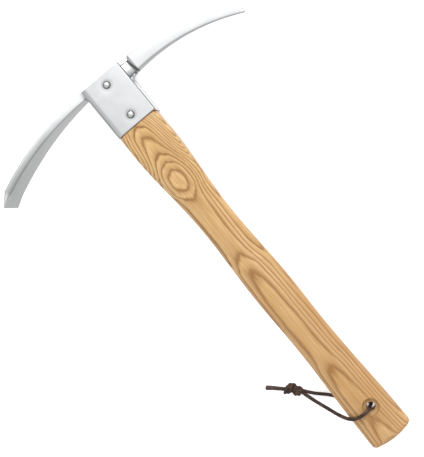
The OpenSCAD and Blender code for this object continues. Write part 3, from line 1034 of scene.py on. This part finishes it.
def make_blade():
    """Sections along the arc: a rounded band that leans inwards a little, ground to a bevel at the tip."""
    root = 180 - degrees(asin((BLADE_SIDE_Y + BLADE_BURIED - BLADE_CENTRE[1]) / BLADE_R))
    tip = 180 + BLADE_SWEEP
    start = tip - BEVEL_SWEEP
    centre = Vector((*BLADE_CENTRE, 0))
    ground_from = BLADE_R * Vector((cos(radians(start)), sin(radians(start)), 0))
    ground_to = (BLADE_INNER_R + EDGE_LAND) * Vector((cos(radians(tip)), sin(radians(tip)), 0))
    rings = []
    for a in spread(root, start, BLADE_STEP) + spread(start, tip, BEVEL_STEP)[1:]:
        out = Vector((cos(radians(a)), sin(radians(a)), 0))
        inner = out * BLADE_INNER_R
        outer = out * (BLADE_R + BLADE_ROOT_SWELL * (1 - ease((a - root) / BLADE_SWELL_SWEEP)))
        if a > start:
            outer = ground_from.lerp(ground_to, (a - start) / BEVEL_SWEEP)
        thickness = (outer - inner).length
        across = (outer - inner).normalized()
        half = blade_half_width((centre + (inner + outer) / 2).y)
        share = (a - root) / (tip - root)
        section = rounded_rectangle(0, thickness, half, blend(BLADE_ROOT_ROUND, BLADE_TIP_ROUND, share))
        lean = blend(BLADE_ROOT_LEAN, BLADE_TIP_LEAN, ease(share * 2)) / half
        rings.append([
            centre + inner + across * u + Vector((0, 0, v * (1 + lean * (u - thickness))))
            for u, v in section
        ])
    blade = make_mesh("mattock_blade_forged", loft(rings), TOOL, sharp=18)
    return finish_piece(blade, FORGED_STEEL, "polished_steel", "mattock_blade")


BEAD_TOP = 1.2
BEAD_CORNER = 1.0
BEAD_SAG = 0.72
BEAD_BURIED = 0.4
BEAD_RIPPLE = 0.05
BEAD_RIPPLE_TURN = 2.1
BEAD_END_SHARE = 0.55
BEAD_END_POINTS = 3
BEAD_STEP = 0.8
BEAD_STEPS = 6


def weld_path(half, top, low, corner):
    """Half way round the blade's root: down one side from top, round the corner, and to the middle."""
    side = [Vector((x, 0, half)) for x in spread(top, low - corner, BEAD_STEP)]
    turn = [Vector((low - corner + corner * sin(radians(a)), 0, half - corner + corner * cos(radians(a))))
            for a in (22.5, 45, 67.5)]
    return side + turn + [Vector((low, 0, z)) for z in spread(half - corner, 0, BEAD_STEP)]


def bead_section(base, out, size):
    """The bead's section: a hollow fillet, buried a little in the socket and in the blade."""
    depth = Vector((0, BEAD_BURIED, 0))
    ring = [base - out * BEAD_BURIED + depth, base + out * size + depth]
    for k in range(BEAD_STEPS + 1):
        a = radians(90 * k / BEAD_STEPS)
        flat = (1 - BEAD_SAG) * k / BEAD_STEPS
        reach = size * (1 - BEAD_SAG * sin(a) - flat * sin(a))
        drop = size * (1 - BEAD_SAG * cos(a) - (1 - BEAD_SAG) * (1 - k / BEAD_STEPS))
        ring.append(base + out * reach - Vector((0, drop, 0)))
    ring.append(base - out * BEAD_BURIED - Vector((0, size, 0)))
    return ring


def make_blade_weld():
    """A fillet bead under the blade and up both of its sides, against the socket."""
    low = arc_x(BLADE_CENTRE, BLADE_INNER_R, BLADE_SIDE_Y)
    path = weld_path(BLADE_ROOT_W / 2, BEAD_TOP, low, BEAD_CORNER)
    path += [Vector((p.x, 0, -p.z)) for p in reversed(path[:-1])]
    rings = []
    for i, point in enumerate(path):
        heading = (path[min(i + 1, len(path) - 1)] - path[max(i - 1, 0)]).normalized()
        out = Vector((heading.z, 0, -heading.x))
        from_end = min(i, len(path) - 1 - i)
        faded = blend(BEAD_END_SHARE, 1, ease(from_end / BEAD_END_POINTS))
        size = BEAD * faded * (1 + BEAD_RIPPLE * sin(i * BEAD_RIPPLE_TURN))
        rings.append(bead_section(point + Vector((0, BLADE_SIDE_Y, 0)), out, size))
    weld = make_mesh("blade_weld_bead", loft(rings), TOOL)
    return finish_piece(weld, WELD, "weld_steel", "blade_weld")


make_blade()
make_blade_weld()


# ---- Pick ----

PICK_EDGE_ROUND = 1.5
PICK_TIP_ROUND = 2.0
PICK_TIP_INSET = 1.1
PICK_BURIED = 0.4
PICK_STEP = 2.5
NECK_ROUND = 2.5
NECK_STEP = 0.7
SHOULDER_STEPS = 8
TIP_STEPS = 6
GUSSET_BURIED = 0.5
GUSSET_END_SHARE = 0.35
GUSSET_STEP = 0.5
GUSSET_STEPS = 12


def pick_ring(y, low, high, half_d, r):
    return [(x, y, z) for x, z in rounded_rectangle(low, high, half_d, r)]


def pick_edges(y):
    return arc_x(PICK_OUTER_CENTRE, PICK_OUTER_R, y), arc_x(PICK_INNER_CENTRE, PICK_INNER_R, y)


def pick_depth(y):
    """The pick's depth: waisted at the neck, then narrowing from the shoulder to the tip."""
    stations = NECK_DEPTHS + [(PICK_REACH, PICK_TIP_D)]
    for (y0, d0), (y1, d1) in zip(stations, stations[1:]):
        if y <= y1:
            return blend(d0, d1, (y - y0) / (y1 - y0))
    return PICK_TIP_D


def make_pick():
    """Sections from the neck, out over the rounded shoulder, and along the two arcs to the blunt tip."""
    shoulder = SHOULDER_Y + SHOULDER_R
    tip_from = PICK_REACH - PICK_TIP_ROUND
    low, high = pick_edges(shoulder)
    rings = [
        pick_ring(y, *NECK_X, pick_depth(y) / 2, NECK_ROUND)
        for y in spread(PICK_SIDE_Y - PICK_BURIED, SHOULDER_Y - 0.3, NECK_STEP)
    ]
    for k in range(SHOULDER_STEPS + 1):
        a = radians(90 * k / SHOULDER_STEPS)
        y = shoulder - SHOULDER_R * cos(a)
        outer = low + SHOULDER_R * (1 - sin(a))
        inner = blend(NECK_X[1], high, sin(a))
        rings.append(pick_ring(y, outer, inner, pick_depth(y) / 2, PICK_EDGE_ROUND))
    for y in spread(shoulder, tip_from, PICK_STEP)[1:]:
        u = (y - shoulder) / (tip_from - shoulder)
        rings.append(pick_ring(y, *pick_edges(y), pick_depth(y) / 2, blend(PICK_EDGE_ROUND, 1, u)))
    for k in range(1, TIP_STEPS + 1):
        a = radians(90 * k / TIP_STEPS)
        y = PICK_REACH - PICK_TIP_ROUND * (1 - sin(a))
        inset = PICK_TIP_INSET * (1 - cos(a))
        outer, inner = pick_edges(y)
        rings.append(pick_ring(y, outer + inset, inner - inset, pick_depth(y) / 2 - inset, 1))
    pick = make_mesh("pick_forged", loft(rings), TOOL, sharp=40)
    return finish_piece(pick, FORGED_STEEL, "polished_steel", "pick")


def make_pick_weld():
    """The concave gusset under the pick's neck, polished down into the socket's side."""
    corner = Vector((NECK_X[1], PICK_SIDE_Y, 0))
    rise = SHOULDER_Y - 1 - PICK_SIDE_Y
    half = GUSSET_D / 2
    rings = []
    for z in spread(-half, half, GUSSET_STEP):
        share = blend(GUSSET_END_SHARE, 1, sqrt(max(0.0, 1 - (abs(z) / half) ** 4)))
        run, height = GUSSET_L * share, rise * share
        ring = [
            corner + Vector((-GUSSET_BURIED, -GUSSET_BURIED, z)),
            corner + Vector((run, -GUSSET_BURIED, z)),
        ]
        for k in range(GUSSET_STEPS + 1):
            a = radians(90 * k / GUSSET_STEPS)
            ring.append(corner + Vector((run * (1 - sin(a)), height * (1 - cos(a)), z)))
        ring.append(corner + Vector((-GUSSET_BURIED, height, z)))
        rings.append(ring)
    weld = make_mesh("pick_weld_gusset", loft(rings), TOOL)
    return finish_piece(weld, WELD, "weld_steel", "pick_weld")


make_pick()
make_pick_weld()
